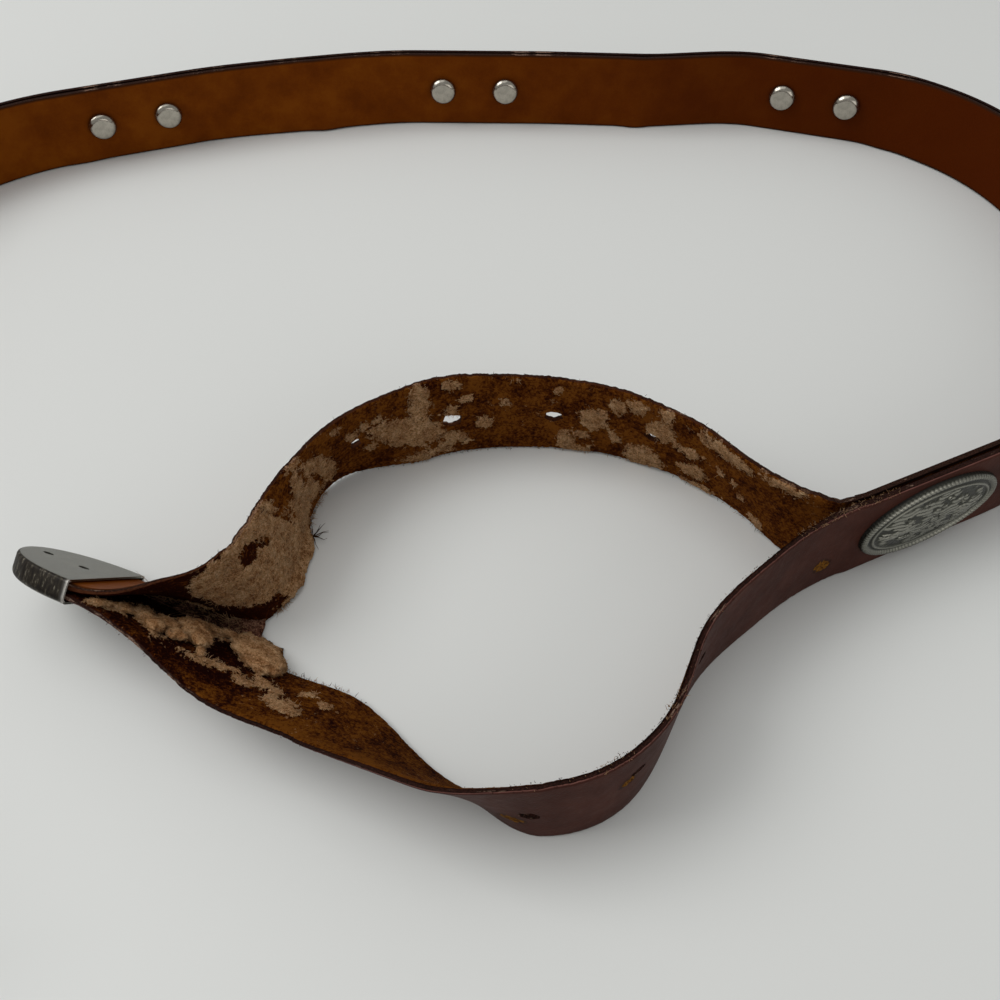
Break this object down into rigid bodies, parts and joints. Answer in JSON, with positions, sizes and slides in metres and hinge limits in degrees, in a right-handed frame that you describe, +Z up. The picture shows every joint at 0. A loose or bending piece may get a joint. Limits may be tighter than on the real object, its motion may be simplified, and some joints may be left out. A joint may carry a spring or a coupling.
{
  "type": "concho belt",
  "caption": "Two-layer leather belt with oval silver conchos, round rivet caps, metal tip and frame buckle, standing on its edge with its layers parted behind the tip.",
  "frame": {"origin": "on the table under the middle of the belt's bounding box", "axes": "+Z up from the table along the strap's width, +X along the belt's longest side to the right in the picture, +Y away from the viewer"},
  "size_m": [0.3788, 0.3012, 0.0353],
  "materials": {
    "outer_leather": "satin, finely wrinkled",
    "lining_leather": "satin, mottled",
    "aged_silver": "cast, tarnished in its recesses",
    "nickel": "polished",
    "tip_silver": "brushed",
    "buckle_nickel": "satin"
  },
  "bodies": {
    "root": {"outer_strap": "outer_leather", "lining_strap": "lining_leather", "concho_1": "aged_silver", "rivet_cap_1a": "nickel", "rivet_cap_1b": "nickel", "concho_2": "aged_silver", "rivet_cap_2a": "nickel", "rivet_cap_2b": "nickel", "concho_3": "aged_silver", "rivet_cap_3a": "nickel", "rivet_cap_3b": "nickel", "concho_4": "aged_silver", "rivet_cap_4a": "nickel", "rivet_cap_4b": "nickel", "concho_5": "aged_silver", "rivet_cap_5a": "nickel", "rivet_cap_5b": "nickel", "concho_6": "aged_silver", "rivet_cap_6a": "nickel", "rivet_cap_6b": "nickel", "concho_7": "aged_silver", "rivet_cap_7a": "nickel", "rivet_cap_7b": "nickel", "belt_tip": "tip_silver", "buckle": "buckle_nickel"}
  },
  "joints": []
}
